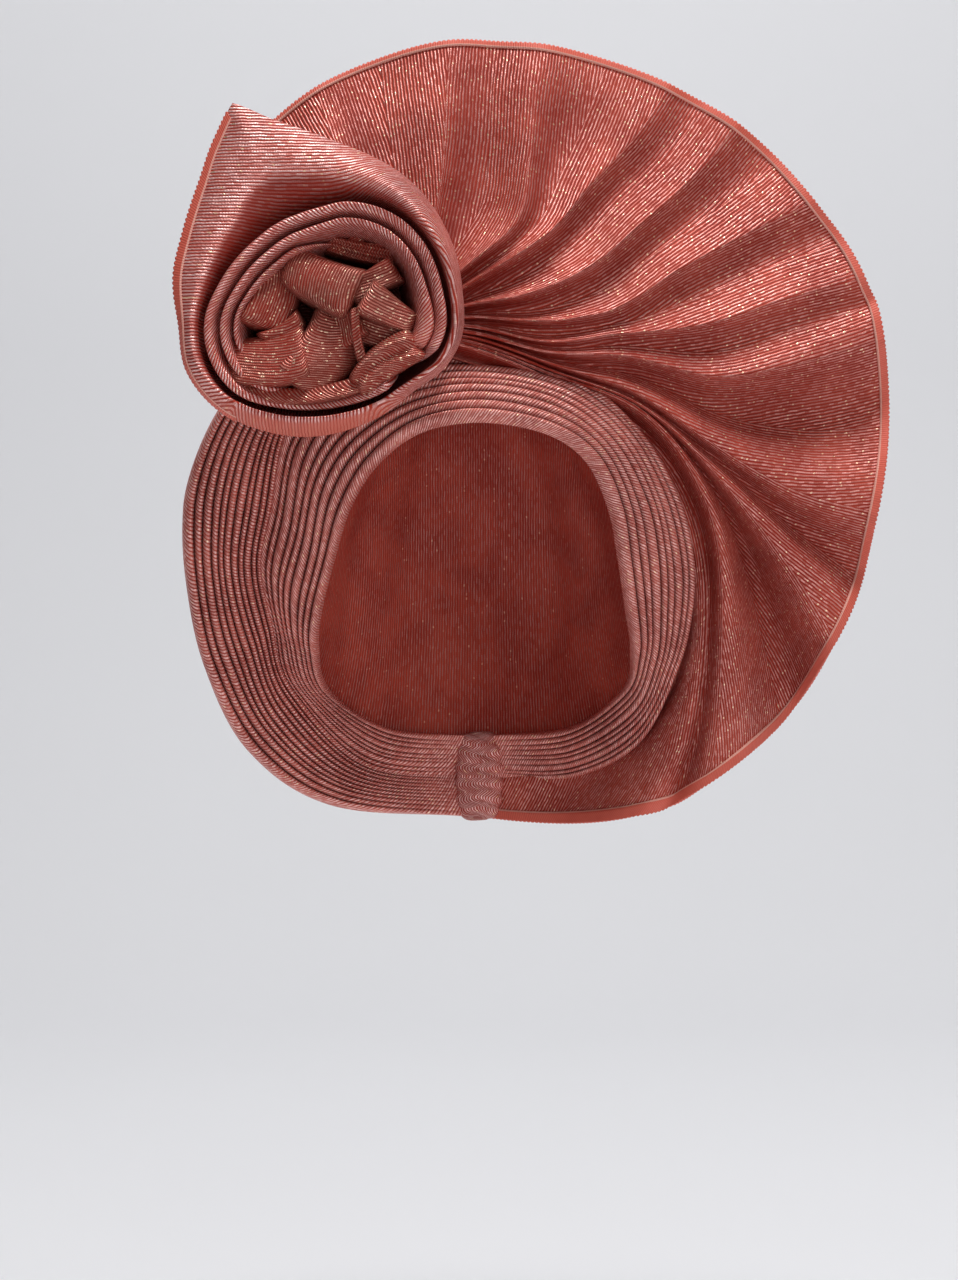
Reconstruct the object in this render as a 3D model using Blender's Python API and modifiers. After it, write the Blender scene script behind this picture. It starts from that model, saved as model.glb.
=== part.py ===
"""Tied gele head tie: one long pleated cloth wound round the head, knotted over the brow, opened into a fan
and finished with a rolled rosette.

Metres, +Z up. The origin is the middle of the head at eye level. The front is -Y, and +X is to the right as
seen from the front. Bearings are degrees clockwise from straight up, seen from the front.
"""

import math

import bmesh
import bpy
from mathutils import Matrix, Vector

# Head hollow
HEAD_HALF_WIDTH = 0.072
HEAD_HALF_DEPTH = 0.092
HEAD_HALF_HEIGHT = 0.114

# Cloth and clearances
CAP_WALL = 0.002
CLOTH_WALL = 0.002
PLEAT_RELIEF = 0.0026
PLEAT_SEAT = 0.0002
PLEAT_STEEPEST = 0.6
CROWN_STEEPEST = 0.1
TOUCH_GAP = 0.0003
END_GAP = 0.0009
EDGE_GAP = 0.003

# Pleated bands
BROW_PLEATS = 9
WING_PLEATS = 11
BROW_CROWN = 0.003
WING_CROWN = 0.006
WING_GAPS = 1.1
CAP_TUCK = 0.008
CAP_OVER_KNOT = 0.004
CAP_TUCK_STATIONS = 1.25
CAP_GATHER = 0.003
CAP_GATHERS = 12
GATHER_BEARING = 100
GATHER_FADE = 30

# Knots
KNOT_RADIUS = 0.020
KNOT_LENGTH = 0.011
KNOT_SIDES = 24
KNOT_ACROSS = -0.0355
KNOT_FORWARD = 0.0595
KNOT_UP = 0.126
NAPE_KNOT_WIDTH = 0.023
NAPE_KNOT_DEPTH = 0.012
NAPE_KNOT_SET_BACK = 0.003
NAPE_KNOT_HEIGHT = 0.046
KNOT_ROUNDING = 0.003

# Fan
FAN_REACH = 0.250
FAN_SWEEP = 0.100
FOLD_STACK = 0.0018
FOLD_RIM_SHARE = 0.55

# Rosette
ROSETTE_ACROSS = -0.0705
ROSETTE_UP = 0.1305
PETAL_REACH = 0.107
PETAL_DEPTH = 0.040
TURN_REACH = 0.060
TURN_WALL = 0.0055
TURN_DEPTH = 0.036
TURN_GAP = 0.0012
TURN_SQUARENESS = 4
HEART_REACH = 0.040
HEART_SQUARENESS = 5
HEART_TAPER = 0.06
ROSETTE_TAPER = 0.20

# The pleats' middle surface over the head, clear of the cap under it
SEAT_LIFT = CAP_WALL + PLEAT_SEAT + (PLEAT_RELIEF + CLOTH_WALL) / 2
SEAT = (HEAD_HALF_WIDTH + SEAT_LIFT, HEAD_HALF_DEPTH + SEAT_LIFT, HEAD_HALF_HEIGHT + SEAT_LIFT)
NAPE_END = (NAPE_KNOT_WIDTH / 2 + END_GAP) / SEAT[0]

# Sections of the brow band from the right nape over the forehead to the left nape.
# Places are shares of the head's half sizes with the pleats' lift: the inner rim, then the outer edge.
BROW_COLUMNS = ("station", "rim_across", "rim_back", "rim_up", "edge_across", "edge_back", "edge_up")
BROW = (
    (0, NAPE_END, 0.86, -0.60, NAPE_END, 0.91, -0.79),
    (1, 0.62, 0.66, -0.56, 0.64, 0.75, -0.78),
    (2, 0.97, 0.36, -0.38, 1.09, 0.52, -0.62),
    (3, 1.02, 0.18, -0.22, 1.34, 0.34, -0.28),
    (4, 0.98, 0.01, -0.04, 1.42, 0.21, -0.02),
    (5, 0.93, -0.14, 0.16, 1.41, 0.12, 0.21),
    (6, 0.86, -0.27, 0.38, 1.29, 0.02, 0.46),
    (7, 0.70, -0.43, 0.58, 1.02, -0.12, 0.72),
    (8, 0.42, -0.58, 0.69, 0.62, -0.25, 0.92),
    (9, 0.00, -0.68, 0.73, 0.10, -0.33, 1.00),
    (10, -0.38, -0.62, 0.68, -0.46, -0.42, 1.00),
    (11, -0.66, -0.50, 0.54, -0.96, -0.42, 0.88),
    (12, -0.84, -0.33, 0.36, -1.23, -0.36, 0.70),
    (13, -0.95, -0.16, 0.15, -1.34, -0.20, 0.40),
    (14, -1.04, -0.02, -0.06, -1.43, -0.05, 0.16),
    (15, -1.07, 0.10, -0.22, -1.37, 0.08, -0.08),
    (16, -1.00, 0.34, -0.40, -1.28, 0.28, -0.36),
    (17, -0.62, 0.66, -0.56, -0.80, 0.62, -0.72),
    (18, -NAPE_END, 0.86, -0.60, -NAPE_END, 0.91, -0.79),
)

# The wing's outer outline at the same stations, from the knot round the left side to the nape
WING_COLUMNS = ("station", "across", "back", "up")
WING = (
    (10.60, -0.76, -0.55, 1.11),
    (11.00, -1.10, -0.53, 1.05),
    (11.50, -1.46, -0.48, 0.92),
    (12.00, -1.67, -0.42, 0.74),
    (12.50, -1.82, -0.34, 0.54),
    (13.00, -1.89, -0.27, 0.36),
    (14.00, -1.88, -0.14, 0.06),
    (15.00, -1.78, 0.04, -0.30),
    (16.00, -1.50, 0.25, -0.66),
    (17.00, -0.98, 0.46, -0.88),
    (18.00, -NAPE_END, 0.88, -0.96),
)

# The fan's ridges: the bearing from the knot at the root, a third out, two thirds out and at the rim, the
# reach as a share of FAN_REACH, how far back each place lies as a share of FAN_SWEEP, and the depth of the
# fold after the ridge as a share of its width.
FAN_COLUMNS = ("root", "near", "mid", "rim", "reach", "back_near", "back_mid", "back_rim", "fold")
FAN = (
    (-74, -74, -74, -74, 0.34, 0.05, 0.14, 0.26, 0.10),
    (-46, -45, -44, -43, 0.48, 0.06, 0.18, 0.34, 0.12),
    (-18, -20, -20, -20, 0.53, 0.10, 0.24, 0.40, 0.13),
    (14, 13, 10, 8, 0.60, 0.12, 0.26, 0.43, 0.16),
    (36, 44, 33, 24, 0.645, 0.07, 0.24, 0.44, 0.32),
    (49, 54, 49, 45, 0.73, 0.09, 0.28, 0.48, 0.32),
    (61, 71, 63, 56, 0.79, 0.11, 0.31, 0.53, 0.32),
    (72, 82, 75, 70, 0.86, 0.15, 0.37, 0.58, 0.34),
    (81, 88.5, 85, 81, 0.925, 0.18, 0.42, 0.63, 0.34),
    (89, 94, 95, 89, 0.955, 0.20, 0.46, 0.67, 0.34),
    (96, 100, 107, 109, 1.00, 0.25, 0.52, 0.74, 0.34),
    (102, 102, 114, 124, 1.045, 0.30, 0.58, 0.82, 0.26),
    (107, 103.5, 121, 145, 1.07, 0.34, 0.66, 0.96, 0.16),
)
# The fan's last line: its bearing at the root, the shares of it where it meets the brow band and where it
# turns down beside the nape knot, the station of the brow band that it starts from, the power of the share
# that it runs along the band by, and how many edge gaps it keeps off the band at its start and at the nape
FAN_LAST_ROOT = 103
FAN_ROOT_TURN = 0.15
FAN_LAST_TURN = 11 / 12
FAN_LAST_STATION = 9.15
FAN_LAST_PACE = 1.5
FAN_BROW_GAPS = 1.8
FAN_NAPE_GAPS = 1.4

# The rosette, round its own middle: the middle line of the outer turn as a share of TURN_REACH, the crest and
# the free edge of the petal as shares of PETAL_REACH, and how far forward both lie as shares of PETAL_DEPTH.
ROSETTE_COLUMNS = ("bearing", "turn", "crest", "edge", "crest_forward", "edge_forward")
ROSETTE = (
    (10, 0.83, 0.62, 0.73, 0.96, 0.62),
    (35, 0.88, 0.60, 0.68, 0.98, 0.55),
    (55, 0.89, 0.58, 0.635, 0.98, 0.50),
    (78, 0.88, 0.565, 0.595, 0.96, 0.48),
    (98, 0.89, 0.565, 0.585, 0.92, 0.46),
    (113, 0.84, 0.535, 0.550, 0.86, 0.45),
    (129, 0.75, 0.475, 0.490, 0.80, 0.42),
    (148, 0.72, 0.462, 0.480, 0.74, 0.40),
    (168, 0.71, 0.462, 0.485, 0.72, 0.38),
    (188, 0.74, 0.480, 0.520, 0.72, 0.38),
    (208, 0.81, 0.520, 0.555, 0.76, 0.44),
    (228, 0.91, 0.580, 0.615, 0.84, 0.60),
    (248, 0.93, 0.600, 0.645, 0.92, 0.76),
    (266, 0.90, 0.585, 0.630, 0.96, 0.84),
    (284, 0.82, 0.570, 0.670, 0.96, 0.86),
    (300, 0.77, 0.580, 0.705, 0.94, 0.84),
    (316, 0.74, 0.620, 0.785, 0.92, 0.80),
    (328, 0.74, 0.700, 0.900, 0.90, 0.76),
    (336, 0.745, 0.740, 1.000, 0.90, 0.74),
    (345, 0.75, 0.700, 0.870, 0.92, 0.72),
    (358, 0.78, 0.650, 0.775, 0.94, 0.68),
)

# The rings of the petal from its middle outwards: each ring's radius lies a share of the way from the near
# place to the far one, and its front a share of the way from the low place to the high one.
PETAL_COLUMNS = ("near", "far", "out", "low", "high", "forward")
PETAL = (
    ("middle", "foot", 0.0, "floor", "floor", 0.0),
    ("middle", "foot", 0.5, "floor", "floor", 0.0),
    ("middle", "foot", 1.0, "floor", "floor", 0.0),
    ("foot", "wall", 0.45, "floor", "crest", 0.36),
    ("wall", "crest", 0.35, "floor", "crest", 0.75),
    ("wall", "crest", 0.80, "floor", "crest", 1.0),
    ("crest", "edge", 0.15, "crest", "edge", 0.04),
    ("crest", "edge", 0.60, "crest", "edge", 0.45),
    ("crest", "edge", 1.0, "crest", "edge", 1.0),
)

# Each turn: its name, where it starts and ends as bearings, and how many walls it lies inside the outer one
TURN_COLUMNS = ("name", "start", "end", "inside")
TURNS = (
    ("rose_turn_outer", 107, -233, 0),
    ("rose_turn_inner", 98, -142, 1),
)

# The folds in the rosette's middle: place, length and width as shares of HEART_REACH, the turn of the length
# in degrees from level, the bend as a share of the width, and the height as a share of TURN_DEPTH.
HEART_COLUMNS = ("across", "up", "length", "width", "turn", "bend", "height")
HEART = (
    (-0.66, 0.14, 0.56, 0.46, 82, 0.12, 0.78),
    (-0.07, 0.49, 0.72, 0.48, -10, 0.10, 0.94),
    (0.30, 0.86, 0.40, 0.17, -16, 0.12, 0.66),
    (0.62, 0.49, 0.52, 0.29, -28, 0.08, 0.82),
    (0.69, 0.04, 0.54, 0.38, 15, 0.08, 0.94),
    (0.01, 0.02, 0.66, 0.34, 10, 0.08, 0.72),
    (-0.66, -0.43, 0.68, 0.48, -12, -0.08, 0.90),
    (-0.06, -0.47, 0.44, 0.50, 15, 0.08, 0.80),
    (-0.22, -0.90, 0.80, 0.14, -3, 0.30, 0.72),
    (0.55, -0.47, 0.60, 0.44, 25, 0.08, 0.96),
)

BROW_STEPS = 34
WING_STEPS = 20
FAN_STEPS = 12
FAN_SPLIT = 4
CAP_STEPS = (38, 9)
PETAL_STEPS = 30
TURN_STEPS = 22
TURN_SIDES = 8

# Colour, roughness and metallic of each cloth
CORAL = ((0.46, 0.13, 0.10, 1.0), 0.42, 0.35)
ROSE_PINK = ((0.56, 0.20, 0.17, 1.0), 0.42, 0.35)
DEEP_CORAL = ((0.28, 0.07, 0.05, 1.0), 0.55, 0.2)


def clear_scene():
    for item in list(bpy.data.objects):
        bpy.data.objects.remove(item, do_unlink=True)


def cloth_material(name, cloth):
    material = bpy.data.materials.new(name)
    material.use_nodes = True
    shader = material.node_tree.nodes["Principled BSDF"]
    for label, value in zip(("Base Color", "Roughness", "Metallic"), cloth):
        shader.inputs[label].default_value = value
    return material


def add_object(name, mesh, material, collection):
    mesh.materials.append(material)
    item = bpy.data.objects.new(name, mesh)
    collection.objects.link(item)
    return item


def column(columns, rows, name):
    place = columns.index(name)
    return [row[place] for row in rows]


def smooth(keys, values, at):
    """Value at a place between keys, on a cubic through the values with slopes from their neighbours."""
    last = len(keys) - 1
    step = next((i for i in range(last) if at <= keys[i + 1]), last - 1)

    def slope(i):
        before, after = max(i - 1, 0), min(i + 1, last)
        return (values[after] - values[before]) / (keys[after] - keys[before])

    span = keys[step + 1] - keys[step]
    t = (at - keys[step]) / span
    return (values[step] * (2 * t ** 3 - 3 * t ** 2 + 1) + values[step + 1] * (3 * t ** 2 - 2 * t ** 3)
            + span * (slope(step) * (t ** 3 - 2 * t ** 2 + t) + slope(step + 1) * (t ** 3 - t ** 2)))


def read(columns, rows, name, at):
    return smooth(column(columns, rows, columns[0]), column(columns, rows, name), at)


def read_round(columns, rows, name, bearing):
    """Like read, for a table of bearings that closes on itself."""
    turned = (bearing - rows[0][0]) % 360 + rows[0][0]
    around = ([(row[0] - 360,) + row[1:] for row in rows[-2:]] + list(rows)
              + [(row[0] + 360,) + row[1:] for row in rows[:2]])
    return read(columns, around, name, turned)


def mix(first, second, share):
    return first + (second - first) * share


def grid_mesh(name, steps_across, steps_along, place):
    """Mesh of a flat grid whose points are put at place(u, v), u and v running from 0 to 1."""
    grid = bmesh.new()
    bmesh.ops.create_grid(grid, x_segments=steps_across, y_segments=steps_along, size=0.5)
    for vertex in grid.verts:
        vertex.co = place(vertex.co.x + 0.5, vertex.co.y + 0.5)
    bmesh.ops.remove_doubles(grid, verts=grid.verts, dist=0.000001)
    mesh = bpy.data.meshes.new(name)
    grid.to_mesh(mesh)
    grid.free()
    return mesh


def add_wall(item, thickness, offset):
    wall = item.modifiers.new("wall", "SOLIDIFY")
    wall.thickness = thickness
    wall.offset = offset
    wall.use_even_offset = False


def add_rounding(item, width):
    rounding = item.modifiers.new("rounding", "BEVEL")
    rounding.width = width
    rounding.segments = 2


def on_seat(across, back, up):
    return (across * SEAT[0], back * SEAT[1], up * SEAT[2])


def brow_rim(station):
    return on_seat(*(read(BROW_COLUMNS, BROW, "rim_" + way, station) for way in ("across", "back", "up")))


def brow_edge(station):
    return on_seat(*(read(BROW_COLUMNS, BROW, "edge_" + way, station) for way in ("across", "back", "up")))


def beside_brow(station, gaps=1.0):
    """Line that runs along the brow band's outer edge, clear of it."""
    rim, edge = brow_rim(station), brow_edge(station)
    share = 1 + gaps * EDGE_GAP / math.dist(rim, edge)
    return [mix(a, b, share) for a, b in zip(rim, edge)]


def wing_outline(station):
    return on_seat(*(read(WING_COLUMNS, WING, way, station) for way in ("across", "back", "up")))


def face_normal(inner, outer, station, first, last):
    """Unit vector out of the front face of a band between two lines."""
    step = 0.05
    before, after = max(station - step, first), min(station + step, last)
    across = Vector(outer(station)) - Vector(inner(station))
    along = Vector(inner(after)) + Vector(outer(after)) - Vector(inner(before)) - Vector(outer(before))
    return across.cross(along).normalized()


def pleated(inner, outer, pleats, crown, first, last):
    """Function of (u, v) for pleats side by side between two lines, v running along them.

    They lie flat where the lines start and end.
    """

    def place(u, v):
        station = mix(first, last, v)
        start, end = Vector(inner(station)), Vector(outer(station))
        width = (end - start).length
        ridge = abs((u * pleats) % 1.0 - 0.5) * 2
        relief = min(PLEAT_RELIEF, width / pleats * PLEAT_STEEPEST) * (ridge - 0.5)
        bulge = min(crown, width * CROWN_STEEPEST) * math.sin(math.pi * u)
        rise = (relief + bulge) * min(1.0, station - first, last - station)
        return mix(start, end, u) + rise * face_normal(inner, outer, station, first, last)

    return place


def cap_hem(station):
    """Point of the cap's hem, tucked under the brow band, above the nape knot behind."""
    last = BROW[-1][0]
    if station > last:
        return mix(cap_hem(last), cap_hem(0), station - last)
    rim, edge = Vector(brow_rim(station)), Vector(brow_edge(station))
    tuck = mix(-CAP_OVER_KNOT, CAP_TUCK, min(1.0, min(station, last - station) / CAP_TUCK_STATIONS))
    under = SEAT_LIFT * face_normal(brow_rim, brow_edge, station, 0, last)
    return rim + tuck * (edge - rim).normalized() - under


def build_cap(material, collection):
    """Hollow cap from the crown to a hem under the brow band, with gathers behind.

    Each gather is deepest two thirds of the way down, where v ** 2 * (1 - v) is 1 / 6.75.
    """
    round_station = BROW[-1][0] + 1
    halves = (HEAD_HALF_WIDTH, HEAD_HALF_DEPTH, HEAD_HALF_HEIGHT)

    def place(u, v):
        across, back, up = (value / half for value, half in zip(cap_hem(round_station * u), halves))
        reach = math.hypot(across, back, up)
        turn, drop = math.atan2(across, -back), math.acos(up / reach) * v
        behind = max(0.0, min(1.0, (abs(math.degrees(turn)) - GATHER_BEARING) / GATHER_FADE))
        wave = (1 + math.cos(CAP_GATHERS * turn)) / 2
        gather = CAP_GATHER * wave * behind * v ** 2 * (1 - v) * 6.75
        swell = 1 + max(reach - 1, 0.0) * v ** 4
        side = [swell * half + gather for half in halves]
        return (side[0] * math.sin(turn) * math.sin(drop), -side[1] * math.cos(turn) * math.sin(drop),
                side[2] * math.cos(drop))

    mesh = grid_mesh("crown_cap", CAP_STEPS[0], CAP_STEPS[1], place)
    add_wall(add_object("crown_cap", mesh, material, collection), CAP_WALL, 1.0)


def build_brow(material, collection):
    """Pleats round the face: right nape, over the forehead, left nape."""
    strip = pleated(brow_rim, brow_edge, BROW_PLEATS, BROW_CROWN, 0, BROW[-1][0])
    mesh = grid_mesh("brow_pleats", 2 * BROW_PLEATS, BROW_STEPS, strip)
    add_wall(add_object("brow_pleats", mesh, material, collection), CLOTH_WALL, 0.0)


def build_wing(material, collection):
    """Pleats of the left side, from the knot to the nape, next to the brow band."""
    strip = pleated(lambda station: beside_brow(station, WING_GAPS), wing_outline, WING_PLEATS, WING_CROWN,
                    WING[0][0], WING[-1][0])
    mesh = grid_mesh("wing_pleats", 2 * WING_PLEATS, WING_STEPS, strip)
    add_wall(add_object("wing_pleats", mesh, material, collection), CLOTH_WALL, 0.0)


def fan_ridge(index, share):
    """Bearing, radius and backward place of one ridge, share running from the knot to the rim.

    Near the knot the ridges lie stacked against the last line, each a fold's thickness from the next.
    """
    get = dict(zip(FAN_COLUMNS, FAN[index]))
    keys = (0.0, 1 / 3, 2 / 3, 1.0)
    bearing = smooth(keys, [get["root"], get["near"], get["mid"], get["rim"]], share)
    back = FAN_SWEEP * smooth(keys, [0.0, get["back_near"], get["back_mid"], get["back_rim"]], share)
    radius = mix(KNOT_RADIUS + END_GAP, get["reach"] * FAN_REACH, share)
    stack = (len(FAN) - index) * FOLD_STACK
    return min(bearing, fan_last(share)[0] - math.degrees(stack / radius)), radius, back - KNOT_FORWARD


def fan_last(share):
    """The fan's last line: off the knot, along the brow band's outer edge, then down beside the nape knot."""
    along = min(share / FAN_LAST_TURN, 1.0)
    down = max(share - FAN_LAST_TURN, 0.0) / (1 - FAN_LAST_TURN)
    low = on_seat(NAPE_END, WING[-1][2], WING[-1][3])
    gaps = mix(FAN_BROW_GAPS, FAN_NAPE_GAPS, along)
    beside = beside_brow(FAN_LAST_STATION * (1 - along ** FAN_LAST_PACE), gaps)
    across, back, up = (mix(a, b, down) for a, b in zip(beside, low))
    away = math.degrees(math.atan2(across - KNOT_ACROSS, up - KNOT_UP))
    radius = math.hypot(across - KNOT_ACROSS, up - KNOT_UP)
    off = min(share / FAN_ROOT_TURN, 1.0)
    return (mix(FAN_LAST_ROOT, away, off), mix(KNOT_RADIUS + END_GAP, radius, off),
            mix(-KNOT_FORWARD, back, off))


def build_fan(material, collection):
    """The opened end of the cloth: folds that fan out from the knot to the selvedge rim."""
    folds = len(FAN)
    depths = column(FAN_COLUMNS, FAN, "fold")

    def line(index, share):
        return fan_last(share) if index == folds else fan_ridge(index, share)

    def place(u, v):
        index = min(int(u * folds + 0.000001), folds - 1)
        part = u * folds - index
        first, second = line(index, v), line(index + 1, v)
        bearing, radius, back = (mix(a, b, part) for a, b in zip(first, second))
        width = math.radians(second[0] - first[0]) * radius
        depth = depths[index] * width * mix(1.0, FOLD_RIM_SHARE, v)
        back += depth * math.sin(math.pi * part)
        turn = math.radians(bearing)
        return KNOT_ACROSS + radius * math.sin(turn), back, KNOT_UP + radius * math.cos(turn)

    mesh = grid_mesh("fan", FAN_SPLIT * folds, FAN_STEPS, place)
    add_wall(add_object("fan", mesh, material, collection), CLOTH_WALL, 0.0)


def build_knot(material, collection):
    """Round knot over the brow that the fan and the wing start from, under the rosette."""
    round_block = bmesh.new()
    bmesh.ops.create_cone(round_block, cap_ends=True, segments=KNOT_SIDES, radius1=KNOT_RADIUS,
                          radius2=KNOT_RADIUS, depth=KNOT_LENGTH)
    bmesh.ops.rotate(round_block, verts=round_block.verts, matrix=Matrix.Rotation(math.pi / 2, 3, "X"))
    mesh = bpy.data.meshes.new("knot")
    round_block.to_mesh(mesh)
    round_block.free()
    knot = add_object("knot", mesh, material, collection)
    knot.location = (KNOT_ACROSS, -KNOT_FORWARD, KNOT_UP)


def build_nape_knot(material, collection):
    """Knot at the nape, which the bands and the fan's last fold run into."""
    block = bmesh.new()
    bmesh.ops.create_cube(block, size=1.0)
    bmesh.ops.scale(block, verts=block.verts, vec=(NAPE_KNOT_WIDTH, NAPE_KNOT_DEPTH, NAPE_KNOT_HEIGHT))
    mesh = bpy.data.meshes.new("nape_knot")
    block.to_mesh(mesh)
    block.free()
    knot = add_object("nape_knot", mesh, material, collection)
    rim, low = brow_rim(0), wing_outline(WING[-1][0])
    knot.location = (0.0, (rim[1] + low[1]) / 2 + NAPE_KNOT_SET_BACK, (rim[2] + low[2]) / 2)
    add_rounding(knot, KNOT_ROUNDING)


def floor_face():
    """Y of the front of the rosette's floor, which lies on the front of the knot."""
    return -(KNOT_FORWARD + KNOT_LENGTH / 2 + TOUCH_GAP + CLOTH_WALL)


def narrowing(y):
    """Share by which the rosette is narrower at a depth than at the front of its turns."""
    return 1 - ROSETTE_TAPER * (1 - (floor_face() - y) / (TURN_DEPTH + TOUCH_GAP))


def around_rosette(bearing, radius, y):
    turn = math.radians(bearing)
    return ROSETTE_ACROSS + radius * math.sin(turn), y, ROSETTE_UP + radius * math.cos(turn)


def turn_radius(bearing, inside):
    return (TURN_REACH * read_round(ROSETTE_COLUMNS, ROSETTE, "turn", bearing)
            - inside * (TURN_WALL + TURN_GAP))


def build_petal(material, collection):
    """The rosette's big outer petal: a flat floor, a wall round the turns, a crest and a turned-out edge."""
    floor = floor_face() + CLOTH_WALL / 2
    rings = len(PETAL) - 1

    def place(u, v):
        bearing = 360 * u
        wall = turn_radius(bearing, 0) + TURN_WALL / 2 + TURN_GAP + CLOTH_WALL / 2
        radii = {"middle": 0.0, "foot": wall * narrowing(floor), "wall": wall}
        fronts = {"floor": floor}
        for part in ("crest", "edge"):
            radii[part] = PETAL_REACH * read_round(ROSETTE_COLUMNS, ROSETTE, part, bearing)
            forward = read_round(ROSETTE_COLUMNS, ROSETTE, part + "_forward", bearing)
            fronts[part] = floor - PETAL_DEPTH * forward
        get = dict(zip(PETAL_COLUMNS, PETAL[round(v * rings)]))
        radius = mix(radii[get["near"]], radii[get["far"]], get["out"])
        return around_rosette(bearing, radius, mix(fronts[get["low"]], fronts[get["high"]], get["forward"]))

    mesh = grid_mesh("rose_petal", PETAL_STEPS, rings, place)
    add_wall(add_object("rose_petal", mesh, material, collection), CLOTH_WALL, 0.0)


def build_turn(row, material, collection):
    """One rolled turn: doubled cloth on edge along its middle line, rounded at the front."""
    get = dict(zip(TURN_COLUMNS, row))
    back = floor_face() - TOUCH_GAP
    roll = bmesh.new()
    rings = []
    for step in range(TURN_STEPS + 1):
        bearing = mix(get["start"], get["end"], step / TURN_STEPS)
        middle = turn_radius(bearing, get["inside"])
        ring = []
        for side in range(TURN_SIDES):
            angle = 2 * math.pi * (side + 0.5) / TURN_SIDES
            wide, deep = math.cos(angle), math.sin(angle)
            bulge = (abs(wide) ** TURN_SQUARENESS + abs(deep) ** TURN_SQUARENESS) ** (-1 / TURN_SQUARENESS)
            radius = middle + wide * bulge * TURN_WALL / 2
            y = back - TURN_DEPTH * (1 + deep * bulge) / 2
            ring.append(roll.verts.new(around_rosette(bearing, radius * narrowing(y), y)))
        rings.append(ring)
    for before, after in zip(rings, rings[1:]):
        for side in range(TURN_SIDES):
            following = (side + 1) % TURN_SIDES
            roll.faces.new((before[side], before[following], after[following], after[side]))
    roll.faces.new(rings[0])
    roll.faces.new(rings[-1])
    bmesh.ops.recalc_face_normals(roll, faces=roll.faces)
    mesh = bpy.data.meshes.new(get["name"])
    roll.to_mesh(mesh)
    roll.free()
    add_object(get["name"], mesh, material, collection)


def build_heart_fold(number, row, material, collection):
    """One plump fold in the rosette's middle, standing on the petal's floor."""
    get = dict(zip(HEART_COLUMNS, row))
    length, width = get["length"] * HEART_REACH, get["width"] * HEART_REACH
    height = get["height"] * TURN_DEPTH
    back = floor_face() - TOUCH_GAP
    turn = math.radians(get["turn"])
    pad = bmesh.new()
    bmesh.ops.create_cube(pad, size=2.0)
    bmesh.ops.subdivide_edges(pad, edges=pad.edges, cuts=2, use_grid_fill=True)
    for vertex in pad.verts:
        size = sum(abs(value) ** HEART_SQUARENESS for value in vertex.co) ** (1 / HEART_SQUARENESS)
        along, beside, front = (value / size for value in vertex.co)
        beside = beside * (1 - HEART_TAPER * front) + get["bend"] * (along ** 2 - 0.5)
        long, wide = along * length / 2, beside * width / 2
        y = back - height * (1 + front) / 2
        x = get["across"] * HEART_REACH + long * math.cos(turn) - wide * math.sin(turn)
        z = get["up"] * HEART_REACH + long * math.sin(turn) + wide * math.cos(turn)
        vertex.co = (ROSETTE_ACROSS + x * narrowing(y), y, ROSETTE_UP + z * narrowing(y))
    mesh = bpy.data.meshes.new("rose_fold_%d" % number)
    pad.to_mesh(mesh)
    pad.free()
    add_object("rose_fold_%d" % number, mesh, material, collection)


def main():
    clear_scene()
    tie = bpy.data.collections.new("gele_head_tie")
    bpy.context.scene.collection.children.link(tie)
    build_cap(cloth_material("crown_cap", DEEP_CORAL), tie)
    build_brow(cloth_material("brow_pleats", ROSE_PINK), tie)
    build_wing(cloth_material("wing_pleats", CORAL), tie)
    build_fan(cloth_material("fan", CORAL), tie)
    build_knot(cloth_material("knot", DEEP_CORAL), tie)
    build_nape_knot(cloth_material("nape_knot", DEEP_CORAL), tie)
    build_petal(cloth_material("rose_petal", ROSE_PINK), tie)
    for row in TURNS:
        build_turn(row, cloth_material(row[0], CORAL), tie)
    for number, row in enumerate(HEART, start=1):
        build_heart_fold(number, row, cloth_material("rose_fold_%d" % number, CORAL), tie)


main()
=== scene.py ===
import bmesh
import bpy
import numpy as np
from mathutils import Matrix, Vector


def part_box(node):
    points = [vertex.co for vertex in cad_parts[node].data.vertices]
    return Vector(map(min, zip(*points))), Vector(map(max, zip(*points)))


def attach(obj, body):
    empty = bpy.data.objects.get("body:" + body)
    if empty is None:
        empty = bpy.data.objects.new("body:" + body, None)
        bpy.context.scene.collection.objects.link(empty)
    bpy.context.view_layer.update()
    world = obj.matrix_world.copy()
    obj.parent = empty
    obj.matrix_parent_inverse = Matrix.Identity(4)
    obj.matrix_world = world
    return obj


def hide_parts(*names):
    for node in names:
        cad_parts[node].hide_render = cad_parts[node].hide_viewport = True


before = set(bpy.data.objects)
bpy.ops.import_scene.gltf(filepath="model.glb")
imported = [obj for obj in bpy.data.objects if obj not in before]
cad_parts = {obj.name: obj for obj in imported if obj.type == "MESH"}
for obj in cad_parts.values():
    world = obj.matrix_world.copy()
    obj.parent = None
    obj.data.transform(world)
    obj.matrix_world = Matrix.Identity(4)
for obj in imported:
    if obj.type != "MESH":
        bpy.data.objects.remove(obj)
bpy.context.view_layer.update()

# Tied gele head tie. Metres, +Z up, the front is -Y. Bearings are degrees clockwise from straight up, as
# seen from the front. The tables that say where each cloth lies follow those of the CAD model.

scene = bpy.context.scene


# Curves, grids and meshes

def along(first, second, share):
    # From the first at 0 to the second at 1, in a straight line.
    return first + (second - first) * share


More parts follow.
